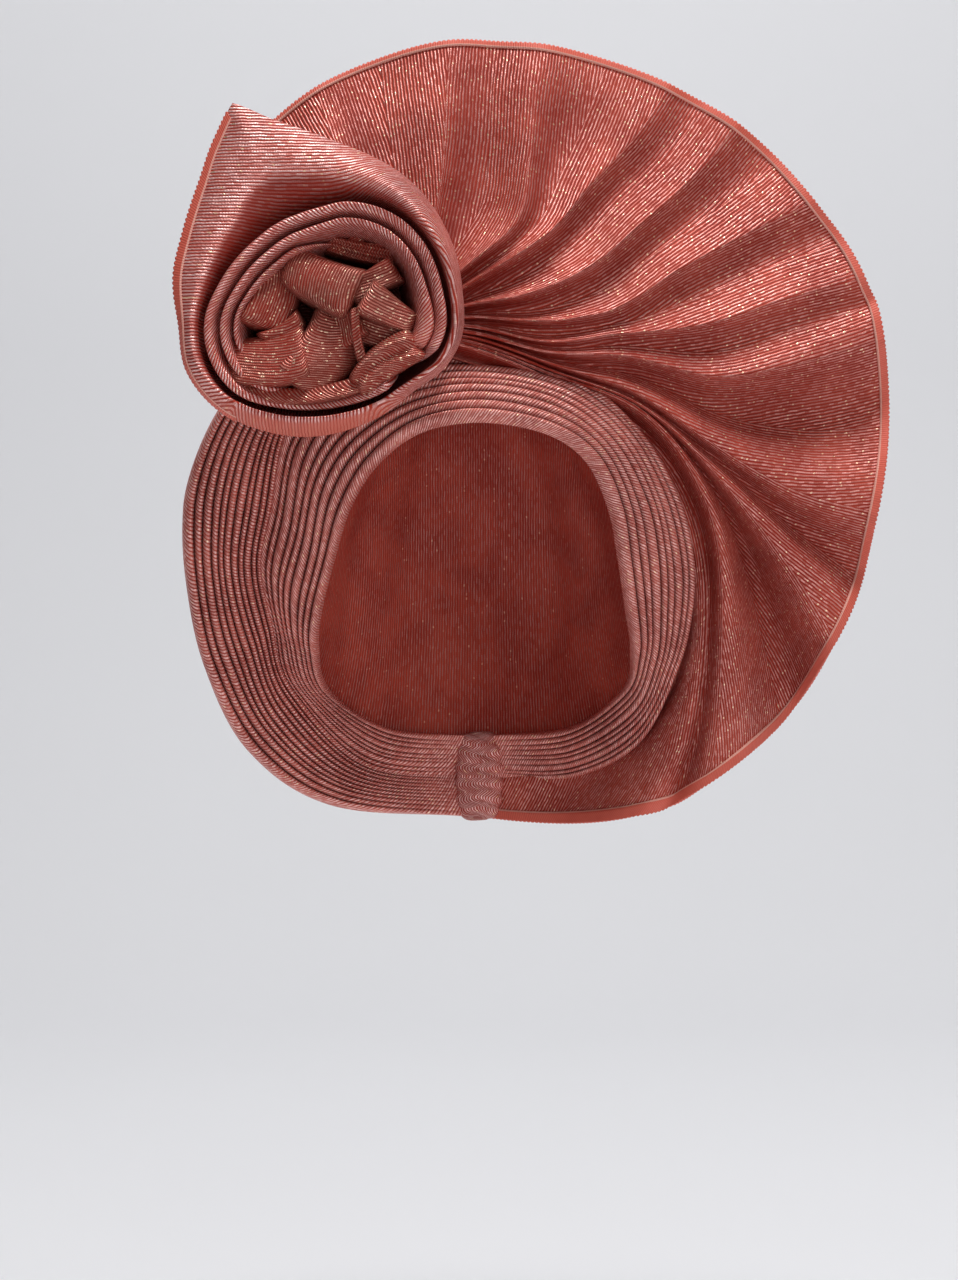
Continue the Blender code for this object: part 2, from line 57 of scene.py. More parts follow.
def curve(keys, values, at, wrap=None):
    # A cubic through the values, whose slope at a key is that of the line between its two neighbours.
    # With wrap, the keys close on themselves after that much.
    keys, values, at = np.asarray(keys, float), np.asarray(values, float), np.asarray(at, float)
    if wrap:
        at = (at - keys[0]) % wrap + keys[0]
        keys = np.concatenate([keys[-2:] - wrap, keys, keys[:2] + wrap])
        values = np.concatenate([values[-2:], values, values[:2]])
    count = len(keys)
    lower, upper = np.maximum(np.arange(count) - 1, 0), np.minimum(np.arange(count) + 1, count - 1)
    slopes = ((values[upper] - values[lower]).T / (keys[upper] - keys[lower])).T
    spot = np.clip(np.searchsorted(keys, at, side="right") - 1, 0, count - 2)
    span = keys[spot + 1] - keys[spot]
    t = (at - keys[spot]) / span
    extra = at.shape + (1,) * (values.ndim - 1)
    t, span = t.reshape(extra), span.reshape(extra)
    return (values[spot] * (2 * t ** 3 - 3 * t ** 2 + 1) + values[spot + 1] * (3 * t ** 2 - 2 * t ** 3)
            + span * (slopes[spot] * (t ** 3 - 2 * t ** 2 + t) + slopes[spot + 1] * (t ** 3 - t ** 2)))


def ripple(a, b, seed, waves=7):
    # Uneven swell of a cloth: the mean of sines of seeded slants, lengths and starts, from -1 to 1.
    dice = np.random.default_rng(seed)
    slant = dice.uniform(0, np.pi, waves)
    size = dice.uniform(0.6, 1.8, waves)
    start = dice.uniform(0, 6.3, waves)
    a, b = np.broadcast_arrays(a, b)
    swell = size * (a[..., None] * np.cos(slant) + b[..., None] * np.sin(slant)) + start
    return np.sin(swell).mean(axis=-1)


def unit(vectors):
    # Each vector, one metre long.
    return vectors / np.maximum(np.linalg.norm(vectors, axis=-1, keepdims=True), 1e-9)


def runLength(points, axis):
    # Distance run along one way of a grid of points, from 0 at its start.
    steps = np.linalg.norm(np.diff(points, axis=axis), axis=-1)
    start = np.zeros_like(np.take(steps, [0], axis=axis))
    return np.concatenate([start, np.cumsum(steps, axis=axis)], axis=axis)


def clothMesh(name, points, weave, bare=0.0, paintedShade=0.0, merge=False):
    # A grid of points, rows by columns, made a mesh. weave gives each point, or each corner of each face,
    # its place on the cloth: metres across the ribs, then along them. bare is 1 where the threads are plain.
    # The other mark is painted shade: 1 where the cloth lies deepest between folds and in hollows.
    rows, columns = points.shape[:2]
    index = np.arange(rows * columns).reshape(rows, columns)
    corners = np.stack([index[:-1, :-1], index[:-1, 1:], index[1:, 1:], index[1:, :-1]], axis=-1)
    corners = corners.reshape(-1, 4)
    mesh = bpy.data.meshes.new(name)
    mesh.from_pydata(points.reshape(-1, 3).tolist(), [], corners.tolist())
    places = weave.reshape(-1, 2)[corners] if weave.ndim == 3 else weave
    mesh.uv_layers.new(name="weave").data.foreach_set("uv", places.astype(np.float32).ravel())
    for kind, share in (("bare", bare), ("paintedShade", paintedShade)):
        share = np.broadcast_to(share, (rows, columns)).astype(np.float32).ravel()
        mesh.attributes.new(kind, "FLOAT", "POINT").data.foreach_set("value", share)
    mesh.polygons.foreach_set("use_smooth", np.ones(len(corners), dtype=bool))
    if merge:
        shell = bmesh.new()
        shell.from_mesh(mesh)
        bmesh.ops.remove_doubles(shell, verts=shell.verts, dist=0.00001)
        shell.to_mesh(mesh)
        shell.free()
    item = bpy.data.objects.new(name, mesh)
    scene.collection.objects.link(item)
    return item


def dress(item, finish, nodes=(), wall=None, side=0.0):
    # Gives a piece its cloth, its wall and its place in the part. side says where the wall lies: 0 is on both
    # sides of the mesh, 1 on the side its faces look to, -1 behind them.
    item.data.materials.append(finish)
    if wall:
        doubled = item.modifiers.new("wall", "SOLIDIFY")
        doubled.thickness = wall
        doubled.offset = side
        doubled.use_even_offset = False
    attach(item, "root")
    if nodes:
        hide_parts(*nodes)
    return item


# Shader expressions

class Wire:
    # One socket of a material's nodes. Sums and products of wires add Math nodes.
    def __init__(self, tree, socket=None):
        self.tree = tree
        self.socket = socket

    def node(self, kind, settings, inputs, out=0):
        # Any node: its settings, then what each of its sockets is given, a wire or a value.
        made = self.tree.nodes.new(kind)
        for key, value in settings.items():
            setattr(made, key, value)
        for key, value in inputs.items():
            if isinstance(value, Wire):
                self.tree.links.new(value.socket, made.inputs[key])
            else:
                made.inputs[key].default_value = value
        return Wire(self.tree, made.outputs[out]) if made.outputs else None

    def maths(self, operation, *others):
        return self.node("ShaderNodeMath", {"operation": operation}, dict(enumerate((self,) + others)))

    def __add__(self, other):
        return self.maths("ADD", other)

    def __sub__(self, other):
        return self.maths("SUBTRACT", other)

    def __rsub__(self, other):
        return self.node("ShaderNodeMath", {"operation": "SUBTRACT"}, {0: other, 1: self})

    def __mul__(self, other):
        return self.maths("MULTIPLY", other)

    def __truediv__(self, other):
        return self.maths("DIVIDE", other)

    __radd__, __rmul__ = __add__, __mul__

    def ease(self, low, high):
        # 0 up to low, 1 from high, smooth between.
        return self.node("ShaderNodeMapRange", {"interpolation_type": "SMOOTHSTEP"},
                         {"Value": self, "From Min": low, "From Max": high})

    def blend(self, first, second):
        return self.node("ShaderNodeMix", {"data_type": "RGBA"}, {0: self, 6: first, 7: second}, 2)


def newFinish(name):
    # An empty material, and the wire that its nodes are made from.
    finish = bpy.data.materials.new(name)
    finish.use_nodes = True
    finish.node_tree.nodes.clear()
    return finish, Wire(finish.node_tree)


def clothPlace(wire):
    # Metres across the ribs and along them, from the weave map.
    place = wire.node("ShaderNodeUVMap", {"uv_map": "weave"}, {})
    across = wire.node("ShaderNodeSeparateXYZ", {}, {0: place})
    return across, Wire(wire.tree, across.socket.node.outputs[1])


def cloudy(wire, scale, detail):
    # Soft clouds over the whole piece, from 0 to 1.
    spot = wire.node("ShaderNodeTexCoord", {}, {}, 3)
    return wire.node("ShaderNodeTexNoise", {}, {"Vector": spot, "Scale": scale, "Detail": detail})


def drawn(wire, first, second):
    # A number from 0 to 1, drawn for each pair of whole numbers.
    spot = wire.node("ShaderNodeCombineXYZ", {}, {0: first, 1: second})
    return wire.node("ShaderNodeTexWhiteNoise", {"noise_dimensions": "2D"}, {"Vector": spot}, 0)


def wave(turns, kind="COSINE"):
    # A cosine or a sine, one wave for each whole turn.
    return (turns * (2 * np.pi)).maths(kind)


def marked(wire, name):
    # One of the two numbers that a mesh carries at its points.
    return wire.node("ShaderNodeAttribute", {"attribute_name": name}, {}, 2)


def finishOff(wire, colour, rough, metal, height, relief, strength, specular):
    # The shader: relief is the depth of the bumps in metres, strength how much of it shows.
    bump = wire.node("ShaderNodeBump", {}, {"Height": height, "Distance": relief, "Strength": strength})
    shader = wire.node("ShaderNodeBsdfPrincipled", {}, {"Base Color": colour, "Roughness": rough,
                                                        "Metallic": metal, "Normal": bump,
                                                        "Specular IOR Level": specular})
    wire.node("ShaderNodeOutputMaterial", {}, {"Surface": shader})


ribbedLook = {
    "rib": 0.0017,              # from one rib to the next
    "dash": 0.0024,             # length of one glint of thread
    "fine": 0.0009,             # length of one speck
    "ground": (0.46, 0.045, 0.022, 1),
    "groundDeep": (0.32, 0.020, 0.009, 1),
    # painted shade: the colour the cloth takes where the mesh marks shade
    "paintedShade": (0.27, 0.014, 0.005, 1),
    "thread": (0.86, 0.345, 0.300, 1),
    "threadDull": (0.42, 0.095, 0.065, 1),
    "spark": (1.0, 0.66, 0.46, 1),
    "bare": (0.66, 0.15, 0.10, 1),
    "sparks": 0.955,            # share of the specks that stay dull
    "sparkSoft": 0.03,
    "sparkCrest": (0.35, 0.7),  # how far up a rib the sparks begin and are full
    "cover": 0.50,              # share of the cloth's face that is thread
    "threadCrest": (0.62, 0.88),    # the same for the thread, before the cover moves it
    "phases": (9.0, 5.0),       # how far glints and specks start apart from rib to rib
    "clouds": (38.0, 240.0),    # scales of the cloth's clouds and of the ribs' wander
    "wander": 0.5,              # in ribs
    "glint": 0.38,              # how much the thread's cover changes from glint to glint
    "shine": (0.6, 0.25, 0.3),  # shares of the glints, of the beat along a rib and of the clouds
    "bareShare": (0.50, 0.45),  # of the bare colour in a valley, and what a rib's crest adds
    "paintedShadeShare": (0.9, 0.8),   # of the painted shade's colour, and of the shine that it takes
    "rough": (0.60, 0.20, 0.15),    # of the ground, and how much thread and spark take off it
    "metal": (0.72, 0.2, 0.9),      # of the thread, what a spark adds, and the most of both
    "heights": (0.75, 0.12, 0.10),  # of a rib, of the beat along it and of the clouds
    "relief": 0.00035,
    "bump": 0.9,
    "specular": 0.2,
}


def ribbedCloth(name, look):
    # Ribs run along the weave map's second way. Each rib is a metallic thread over a coral ground, broken
    # into glints whose brightness is drawn for each rib and length, with a few bright sparks.
    finish, wire = newFinish(name)
    across, lengthways = clothPlace(wire)
    cloud, drift = cloudy(wire, look["clouds"][0], 3.0), cloudy(wire, look["clouds"][1], 2.0)
    rib = across / look["rib"] + (drift - 0.5) * look["wander"]
    number = rib.maths("FLOOR")
    crest = wave(rib) * -0.5 + 0.5
    phase = wire.node("ShaderNodeTexWhiteNoise", {"noise_dimensions": "1D"}, {"W": number}, 0)
    start, fineStart = phase * look["phases"][0], phase * look["phases"][1]
    glint = drawn(wire, number, (lengthways / look["dash"] + start).maths("FLOOR"))
    speck = drawn(wire, number + 31.0, (lengthways / look["fine"] + fineStart).maths("FLOOR"))
    beat = wave(lengthways / look["fine"] + phase, "SINE") * 0.5 + 0.5
    half = look["cover"] / 2
    low, high = look["threadCrest"]
    thread = crest.ease(low - half, high - half) * (1 - look["glint"] + glint * look["glint"])
    spark = speck.ease(look["sparks"], look["sparks"] + look["sparkSoft"]) * crest.ease(*look["sparkCrest"])
    ground = cloud.ease(0.35, 0.65).blend(look["groundDeep"], look["ground"])
    ofGlint, ofBeat, ofCloud = look["shine"]
    shine = (glint * ofGlint + beat * ofBeat + cloud * ofCloud).blend(look["threadDull"], look["thread"])
    colour = spark.blend(thread.blend(ground, shine), look["spark"])
    plain, paintedShade = marked(wire, "bare"), marked(wire, "paintedShade")
    valley, added = look["bareShare"]
    colour = (plain * (valley + crest * added)).blend(colour, look["bare"])
    # Painted shade: where the mesh marks it, the colour goes to the shade colour, the threads lose metal and
    # the sparks lose gloss.
    colour = (paintedShade * look["paintedShadeShare"][0]).blend(colour, look["paintedShade"])
    dressed = (1 - plain) * (1 - paintedShade * look["paintedShadeShare"][1])
    most, ofThread, ofSpark = look["rough"]
    rough = most - thread * ofThread - spark * ofSpark * dressed
    ofThread, ofSpark, most = look["metal"]
    metal = (thread * ofThread + spark * ofSpark).maths("MINIMUM", most) * dressed
    ofRib, ofBeat, ofCloud = look["heights"]
    height = crest * ofRib + beat * ofBeat * thread + cloud * ofCloud
    finishOff(wire, colour, rough, metal, height, look["relief"], look["bump"], look["specular"])
    return finish


selvedgeLook = {
    "rib": 0.0012,
    "line": (0.86, 0.40, 0.32, 1),
    "lineWidth": (0.0007, 0.0010),  # where the bright line along the edge ends
    "colour": (0.84, 0.175, 0.120, 1),
    "deep": (0.56, 0.080, 0.048, 1),
    "relief": 0.00020,
    "bump": 0.8,
    "specular": 0.3,
}


def selvedgeCloth(name, look):
    # Plain coral edge, its fine threads running along the weave map's second way.
    finish, wire = newFinish(name)
    across, lengthways = clothPlace(wire)
    cloud = cloudy(wire, 120.0, 3.0)
    crest = wave(across / look["rib"]) * 0.5 + 0.5
    colour = (crest * 0.45 + cloud * 0.55).blend(look["deep"], look["colour"])
    colour = lengthways.ease(*look["lineWidth"]).blend(look["line"], colour)
    height = crest * 0.7 + cloud * 0.3
    finishOff(wire, colour, 0.5 - crest * 0.1, cloud * 0.1, height, look["relief"], look["bump"],
              look["specular"])
    return finish


def studioFinish(name, colour):
    # One pale colour, hardly clouded.
    finish, wire = newFinish(name)
    cloud = cloudy(wire, 2.0, 2.0)
    tone = cloud.blend(tuple(value * 0.97 for value in colour) + (1,), colour + (1,))
    finishOff(wire, tone, 0.85 + cloud * 0.05, 0.0, cloud, 0.001, 0.1, 0.5)
    return finish


# Copies of one cloth. The brow's copy, which the wing shares, has lighter threads and ground than the fan's,
# and the rosette's has lighter threads: painted light, for the overhead lamp that falls on their upturned
# faces. The heart's copy is darker and browner all over. The shade colour given to each copy is its painted
# shade.
fanCloth = ribbedCloth("fanCloth", dict(
    ribbedLook, cover=0.46, thread=(0.84, 0.385, 0.34, 1), paintedShade=(0.20, 0.009, 0.003, 1)))
browClothPaintedLight = ribbedCloth("browClothPaintedLight", dict(
    ribbedLook, cover=0.72, ground=(0.58, 0.110, 0.075, 1), groundDeep=(0.38, 0.050, 0.032, 1),
    thread=(1.0, 0.58, 0.53, 1), threadDull=(0.60, 0.20, 0.165, 1), paintedShade=(0.05, 0.004, 0.003, 1)))
roseClothPaintedLight = ribbedCloth("roseClothPaintedLight", dict(
    ribbedLook, rib=0.0015, cover=0.64, thread=(1.0, 0.64, 0.60, 1), threadDull=(0.66, 0.26, 0.22, 1)))
heartCloth = ribbedCloth("heartCloth", dict(
    ribbedLook, rib=0.0014, ground=(0.20, 0.026, 0.015, 1), thread=(0.63, 0.29, 0.23, 1),
    paintedShade=(0.05, 0.004, 0.003, 1), sparks=0.92))
capCloth = ribbedCloth("capCloth", dict(
    ribbedLook, cover=0.30, thread=(0.50, 0.20, 0.17, 1), sparks=0.985))
edgeCloth = selvedgeCloth("edgeCloth", selvedgeLook)
print("materials ready")


# Pleats round the opening, and the places of all that touches them

# The hollow that it is worn by: its half sizes, the cloth's lift off it and one gap beyond the band's edge
hollow = {"half": (0.072, 0.092, 0.114), "lift": 0.0045, "edgeGap": 0.003}
seat = np.array(hollow["half"]) + hollow["lift"]
napeEnd = 0.0060 / seat[0]

# station, then across, back and up of the rim at the opening and of the outer edge, as shares of the seat
browRows = np.array([
    (0, napeEnd, 0.86, -0.60, napeEnd, 0.91, -0.79),
    (1, 0.62, 0.66, -0.56, 0.64, 0.75, -0.78),
    (2, 0.97, 0.36, -0.38, 1.09, 0.52, -0.62),
    (3, 1.02, 0.18, -0.22, 1.34, 0.34, -0.28),
    (4, 0.98, 0.01, -0.04, 1.42, 0.21, -0.02),
    (5, 0.93, -0.14, 0.16, 1.41, 0.12, 0.21),
    (6, 0.86, -0.27, 0.38, 1.29, 0.02, 0.46),
    (7, 0.70, -0.43, 0.58, 1.02, -0.12, 0.72),
    (8, 0.42, -0.58, 0.69, 0.62, -0.25, 0.92),
    (9, 0.00, -0.68, 0.73, 0.10, -0.33, 1.00),
    (10, -0.38, -0.62, 0.68, -0.46, -0.42, 1.00),
    (11, -0.66, -0.50, 0.54, -0.96, -0.42, 0.88),
    (12, -0.84, -0.33, 0.36, -1.23, -0.36, 0.70),
    (13, -0.95, -0.16, 0.15, -1.34, -0.20, 0.40),
    (14, -1.04, -0.02, -0.06, -1.43, -0.05, 0.16),
    (15, -1.07, 0.10, -0.22, -1.37, 0.08, -0.08),
    (16, -1.00, 0.34, -0.40, -1.28, 0.28, -0.36),
    (17, -0.62, 0.66, -0.56, -0.80, 0.62, -0.72),
    (18, -napeEnd, 0.86, -0.60, -napeEnd, 0.91, -0.79),
])

# station, then across, back and up of the wing's outer edge
wingRows = np.array([
    (10.60, -0.76, -0.55, 1.11),
    (11.00, -1.10, -0.53, 1.05),
    (11.50, -1.46, -0.48, 0.92),
    (12.00, -1.67, -0.42, 0.74),
    (12.50, -1.82, -0.34, 0.54),
    (13.00, -1.89, -0.27, 0.36),
    (14.00, -1.88, -0.14, 0.06),
    (15.00, -1.78, 0.04, -0.30),
    (16.00, -1.50, 0.25, -0.66),
    (17.00, -0.98, 0.46, -0.88),
    (18.00, -napeEnd, 0.88, -0.96),
])


def browRim(station):
    # The band's rim at the opening.
    return curve(browRows[:, 0], browRows[:, 1:4], station) * seat


def browEdge(station, gaps=0.0):
    # The band's outer edge, or a line that many gaps beyond it.
    rim, edge = browRim(station), curve(browRows[:, 0], browRows[:, 4:7], station) * seat
    return edge + unit(edge - rim) * gaps * hollow["edgeGap"]


def wingEdge(station):
    # The wing's outer edge.
    return curve(wingRows[:, 0], wingRows[:, 1:4], station) * seat


def pleatedBand(name, station, inner, outer, look):
    # Pleats side by side between two lines. Each is a round roll: its height falls from the crest by
    # 1 - sqrt(1 - |2p - 1| ^ round), p running from 0 to 1 over the pleat. The pleats' lines waver a little,
    # both sides are turned back, and the band lies flat at its ends.
    widths = np.array(look["widths"], float)
    turned = 4      # lines of points in each turned-back side
    lines = np.concatenate([[0.0], np.cumsum(widths) / widths.sum()])
    apart = 1.7 * np.arange(len(lines))
    waver = ripple(station[:, None] * look["waverPace"], apart, look["seed"])
    waver[:, [0, -1]] = 0
    lines = lines + waver * look["waver"] * widths.mean() / widths.sum()
    p = (1 - np.cos(np.pi * np.arange(look["steps"]) / look["steps"])) / 2
    share = (lines[:, :-1, None] + np.diff(lines, axis=1)[:, :, None] * p).reshape(len(station), -1)
    share = np.concatenate([share, lines[:, -1:]], axis=1)
    roll = 1 - np.sqrt(1 - np.abs(2 * p - 1) ** look["round"])
    roll = np.append(np.tile(roll, len(widths)), 1.0)
    pitch = np.linalg.norm(outer - inner, axis=1) / len(widths)
    relief = np.minimum(look["relief"], look["steepest"] * pitch)[:, None]
    crown = np.minimum(look["crown"], 0.1 * pitch * len(widths))[:, None]
    hold = np.clip(np.minimum(station - station[0], station[-1] - station), 0, 1)[:, None]
    face = unit(np.cross(outer - inner, np.gradient(inner + outer, axis=0)))
    rise = (crown * np.sin(np.pi * share) - relief * (roll - 0.5)) * hold
    points = inner[:, None] + (outer - inner)[:, None] * share[..., None] + rise[..., None] * face[:, None]
    turn = np.linspace(0, 1, turned + 1)[1:] * look["tuck"]
    first = points[:, :1] - face[:, None] * turn[::-1, None]
    last = points[:, -1:] - face[:, None] * turn[:, None]
    points = np.concatenate([first, points, last], axis=1)
    lengthways = runLength(points.mean(axis=1, keepdims=True), 0)
    across = runLength(points, 1)
    weave = np.stack([lengthways + look["slant"] * across, across], axis=-1)
    # Painted shade in the grooves between the pleats, none on the band's two outer sides and none where the
    # band lies flat.
    deep = np.clip((roll - look["paintedShadeFrom"]) / (1 - look["paintedShadeFrom"]), 0, 1) ** 0.7
    deep[:look["steps"] // 2] = deep[-look["steps"] // 2:] = 0
    return clothMesh(name, points, weave, paintedShade=np.pad(deep, turned) * hold)


# widths are the pleats' own, from the opening outwards. steepest is the most relief as a share of a pleat's
# width, crown the bulge of the whole band, tuck how deep its sides are turned back, and slant the ribs' own.
# The last key of each is where a groove's painted shade begins, as a share of the fall from crest to groove.
browLook = {"widths": (1.05, 0.85, 0.95, 1.05, 0.85, 0.95, 1.10, 0.80, 1.15), "steps": 12, "round": 2.0,
            "relief": 0.0034, "steepest": 0.85, "crown": 0.003, "waver": 0.35, "waverPace": 1.3, "seed": 4,
            "tuck": 0.0028, "slant": 0.55, "stations": 420, "wall": 0.0010, "gaps": 0.15, "paintedShadeFrom": 0.22}


def buildBrow(look):
    station = np.linspace(browRows[0, 0], browRows[-1, 0], look["stations"])
    item = pleatedBand("browPleats", station, browRim(station), browEdge(station, look["gaps"]), look)
    dress(item, browClothPaintedLight, ["brow_pleats"], look["wall"], -1.0)


wingLook = {"widths": (0.85, 0.95, 0.90, 1.0, 0.95, 1.1, 0.85, 1.0, 1.1, 1.15, 1.25), "steps": 12,
            "round": 1.7, "relief": 0.0044, "steepest": 1.0, "crown": 0.006, "waver": 0.45, "waverPace": 1.6,
            "seed": 11, "tuck": 0.0040, "slant": 0.40, "stations": 300, "wall": 0.0010, "gaps": -0.45,
            "paintedShadeFrom": 0.20}


def buildWing(look):
    station = np.linspace(wingRows[0, 0], wingRows[-1, 0], look["stations"])
    item = pleatedBand("wingPleats", station, browEdge(station, look["gaps"]), wingEdge(station), look)
    dress(item, browClothPaintedLight, ["wing_pleats"], look["wall"], -1.0)


capLook = {"around": 180, "down": 56, "step": 0.05, "tuck": 0.008, "overKnot": 0.004, "tuckStations": 1.25,
           "gather": 0.003, "gathers": 12, "from": 100, "fade": 30, "wall": 0.0016}


def buildCap(look):
    # From the crown down to the hem: the hollow's half sizes, swelling to the hem's place as the fourth power
    # of the way down. Gathers behind are a cosine round the crown, deepest two thirds of the way down, where
    # v ^ 2 * (1 - v) * 27 / 4 is 1.
    last = browRows[-1, 0]
    station = np.linspace(0, last + 1, look["around"] + 1)
    inBand = np.minimum(station, last)
    rim, edge = browRim(inBand), browEdge(inBand)
    before, after = np.maximum(inBand - look["step"], 0), np.minimum(inBand + look["step"], last)
    runs = browRim(after) + browEdge(after) - browRim(before) - browEdge(before)
    face = unit(np.cross(edge - rim, runs))
    near = np.clip(np.minimum(inBand, last - inBand) / look["tuckStations"], 0, 1)
    tuck = along(look["overKnot"], look["tuck"], near)[:, None]
    hem = rim + tuck * unit(edge - rim) - hollow["lift"] * face
    over = np.clip(station - last, 0, 1)[:, None]
    hem = np.where(over > 0, along(hem[inBand == last][0], hem[0], over), hem)
    half = np.array(hollow["half"])
    reach = np.linalg.norm(hem / half, axis=1)
    turn = np.arctan2(hem[:, 0] / half[0], -hem[:, 1] / half[1])
    low = np.arccos(hem[:, 2] / half[2] / reach)
    v = np.linspace(0, 1, look["down"])[:, None]
    behind = np.clip((np.abs(np.degrees(turn)) - look["from"]) / look["fade"], 0, 1)
    pucker = (0.5 + 0.5 * np.cos(look["gathers"] * turn)) ** 1.5
    gather = look["gather"] * pucker * behind * v ** 2 * (1 - v) * 27 / 4
    swell = 1 + np.maximum(reach - 1, 0) * v ** 4
    side = swell[..., None] * half + gather[..., None]
    drop = low * v
    way = np.stack([np.sin(turn) * np.sin(drop), -np.cos(turn) * np.sin(drop), np.cos(drop)], axis=-1)
    points = side * way
    points = points[:, ::-1] * (1 + look["wall"] / 2 / half.mean())
    x, y, z = np.moveaxis(points / half, -1, 0)
    weave = np.stack([np.arctan2(np.hypot(y, z), x), np.arctan2(y, z + 0.2)], axis=-1) * half.mean()
    item = clothMesh("crownCap", points, weave, merge=True)
    dress(item, capCloth, ["crown_cap"], look["wall"])


buildBrow(browLook)
buildWing(wingLook)
buildCap(capLook)
print("bands and cap ready")


# The fan

fanLook = {
    "hub": (-0.0355, 0.126),    # across and up of the knot that it spreads from
    "front": -0.0595, "root": 0.0165, "reach": 0.250, "sweep": 0.100,
    "stack": 0.0018,            # room that each ridge keeps from the next at the root
    "rimDepth": 0.24,           # share of a fold's depth that is left at the rim
    "slit": 0.0055, "slitFade": 0.30,
    # the last line: its bearing at the root, where it has left the knot and where it leaves the band, then
    # the band's station that it starts at, its pace along it, and its place by the band's edge
    "lastRoot": 119, "rootTurn": 0.38, "lastTurn": 11 / 12,
    "lastStation": 9.15, "lastPace": 1.5, "lastGaps": -0.5, "lastBehind": 0.0015,
    "lowFrom": 8,               # the folds after this one hang low
    "flat": 2.6, "swell": 0.65, "crumple": 0.0012, "rim": 0.0011,
    # the turned-back hem: how far it turns, how far out, and its painted shade
    "hem": 0.022, "hemReach": 0.22, "hemPaintedShade": 0.8,
    # painted shade below a ridge: each pair is the value, and what the low folds add to it
    "paintedShadeAt": (0.22, 0.12), "paintedShadeWide": (0.19, 0.04), "paintedShadeFade": (0.5, -0.2), "paintedShadeMost": (0.92, 0.08),
    # painted shade in the slits by the knot, and how far out it reaches
    "slitPaintedShade": 0.9, "slitReach": 0.20,
    "part": 26, "rows": 110,    # lines in a fold, and points along a line
    "wall": 0.0010,
}

# Each ridge: its bearing from the knot at the root, a fifth out and so on to the rim, its reach as a share of
# the fan's, how far back it lies a third out, two thirds out and at the rim, the depth of the fold after it
# as a share of its width, and how near the ridge that depth comes (1 is half way)
fanRows = np.array([
    (-74, -74, -74, -74, -74, -74, 0.34, 0.05, 0.14, 0.26, 0.10, 1.0),
    (-46, -46, -45, -45, -44, -43, 0.48, 0.06, 0.18, 0.34, 0.22, 0.8),
    (-18, -19, -20, -20, -20, -20, 0.53, 0.10, 0.24, 0.40, 0.26, 0.7),
    (14, 14, 13, 11, 9, 8, 0.60, 0.12, 0.26, 0.43, 0.34, 0.7),
    (34, 42, 44.5, 35, 28, 24, 0.645, 0.07, 0.24, 0.44, 0.44, 0.75),
    (46, 52.5, 54, 50, 48, 45, 0.73, 0.09, 0.28, 0.48, 0.52, 0.62),
    (58, 70, 69.5, 64, 60, 56, 0.79, 0.11, 0.31, 0.53, 0.54, 0.60),
    (68, 82, 82.5, 75.5, 72, 70, 0.86, 0.15, 0.37, 0.58, 0.54, 0.58),
    (76, 91, 88.5, 86.5, 83, 81, 0.925, 0.18, 0.42, 0.63, 0.54, 0.60),
    (83, 95, 94, 96, 92.5, 88.5, 0.955, 0.20, 0.46, 0.67, 0.80, 0.58),
    (88, 99, 102, 107.5, 110, 109, 1.00, 0.25, 0.52, 0.74, 1.00, 0.60),
    (92, 101.5, 104.5, 112, 118.5, 124, 1.045, 0.30, 0.58, 0.82, 1.20, 0.66),
    (95, 103, 105.5, 117, 133, 145, 1.07, 0.34, 0.66, 0.96, 0.80, 0.80),
    (98, 104.5, 112, 122.5, 137, 155, 1.05, 0.355, 0.785, 1.10, 0.20, 1.0),
])
fanWays = (0, 0.2, 0.4, 0.6, 0.8, 1.0)


def fanLast(look, t):
    # Bearing, radius and place back of the last line: off the knot, along the band's edge, then to the nape.
    run = np.minimum(t / look["lastTurn"], 1)
    down = np.maximum(t - look["lastTurn"], 0) / (1 - look["lastTurn"])
    low = np.array([napeEnd, wingRows[-1, 2], wingRows[-1, 3]]) * seat
    beside = browEdge(look["lastStation"] * (1 - run ** look["lastPace"]), look["lastGaps"])
    beside = along(beside, low, down[:, None])
    x, z = beside[:, 0] - look["hub"][0], beside[:, 2] - look["hub"][1]
    off = np.minimum(t / look["rootTurn"], 1)
    off = off ** 2 * (3 - 2 * off)
    return (along(look["lastRoot"], np.degrees(np.arctan2(x, z)), off),
            along(look["root"], np.hypot(x, z), off),
            along(look["front"], beside[:, 1] + look["lastBehind"], off))


def fanRidges(look, t):
    # Bearing, radius and place back of every ridge and of the last line, at each way out t.
    last = np.stack(fanLast(look, t))
    radius = along(look["root"], fanRows[:, 6:7] * look["reach"], t)
    bearing = curve(fanWays, fanRows[:, :6].T, t).T
    backs = np.concatenate([np.zeros((len(fanRows), 1)), fanRows[:, 7:10]], axis=1)
    back = look["front"] + look["sweep"] * curve((0, 1 / 3, 2 / 3, 1), backs.T, t).T
    spare = (len(fanRows) - np.arange(len(fanRows)))[:, None] * np.degrees(look["stack"] / radius)
    bearing = np.minimum(bearing, last[0] - spare)
    return np.concatenate([np.stack([bearing, radius, back], axis=1), last[None]])


